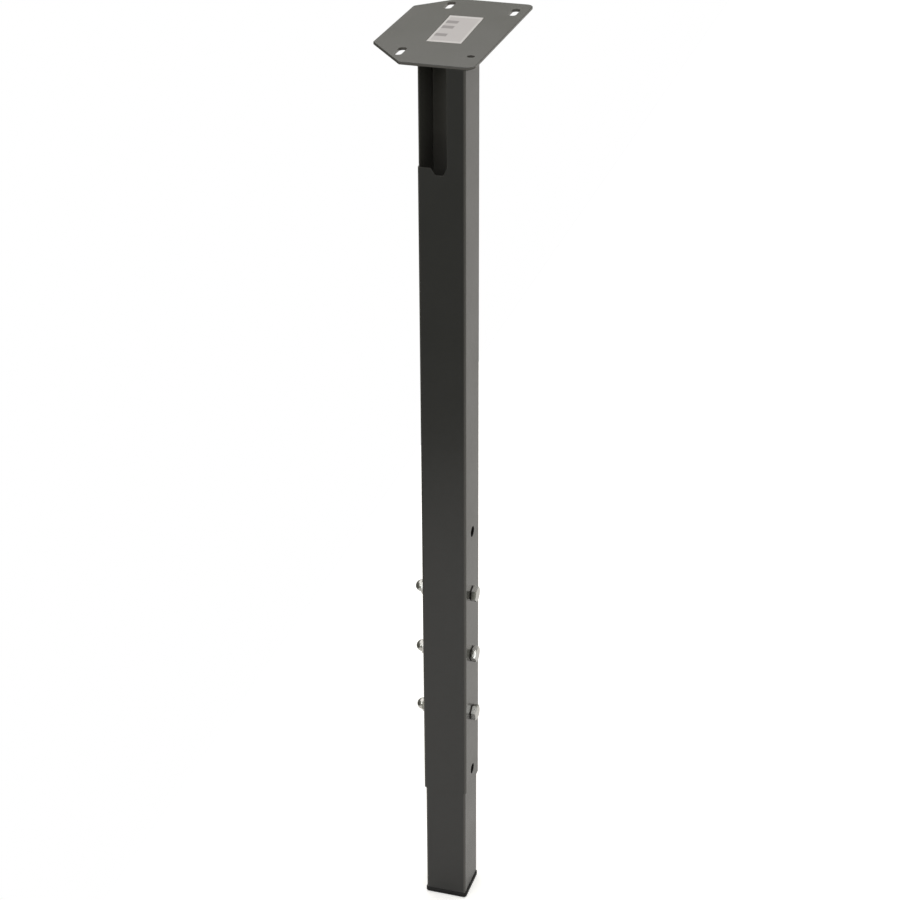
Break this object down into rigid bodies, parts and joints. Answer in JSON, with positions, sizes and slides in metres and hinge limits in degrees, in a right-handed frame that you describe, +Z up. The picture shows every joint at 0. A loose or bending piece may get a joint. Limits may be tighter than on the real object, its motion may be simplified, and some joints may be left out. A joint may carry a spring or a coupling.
{
  "type": "adjustable furniture leg",
  "caption": "Square steel bench leg that telescopes, with a cut-cornered mounting plate on top, clamping bolts with cap nuts and a plastic foot cap.",
  "frame": {"origin": "on the plate's mounting face, straight above the middle of the square tube", "axes": "+Z up, out of the mounting face; +X along the plate, away from the tube's windowed front face; +Y to the plate's cut-cornered side, where the cap nuts are"},
  "size_m": [0.224, 0.121, 1.008],
  "materials": {
    "graphite_paint": "smooth satin-gloss graphite grey powder coat",
    "foot_plastic": "moulded black plastic, fine matte grain",
    "zinc_plate": "bright zinc-plated steel",
    "label_paper": "matte self-adhesive paper with plain grey bars"
  },
  "bodies": {
    "upper": {"mounting_plate": "graphite_paint", "outer_tube": "graphite_paint", "weld_bead": "graphite_paint", "bolt_1": "zinc_plate", "bolt_2": "zinc_plate", "bolt_3": "zinc_plate", "cap_nut_1": "zinc_plate", "cap_nut_2": "zinc_plate", "cap_nut_3": "zinc_plate"},
    "lower": {"inner_tube": "graphite_paint", "foot_cap": "foot_plastic"}
  },
  "joints": [
    {"name": "leg_slide", "type": "slide", "parent": "lower", "child": "upper", "axis": [0, 0, 1], "range_m": [-0.078, 0.078]}
  ]
}
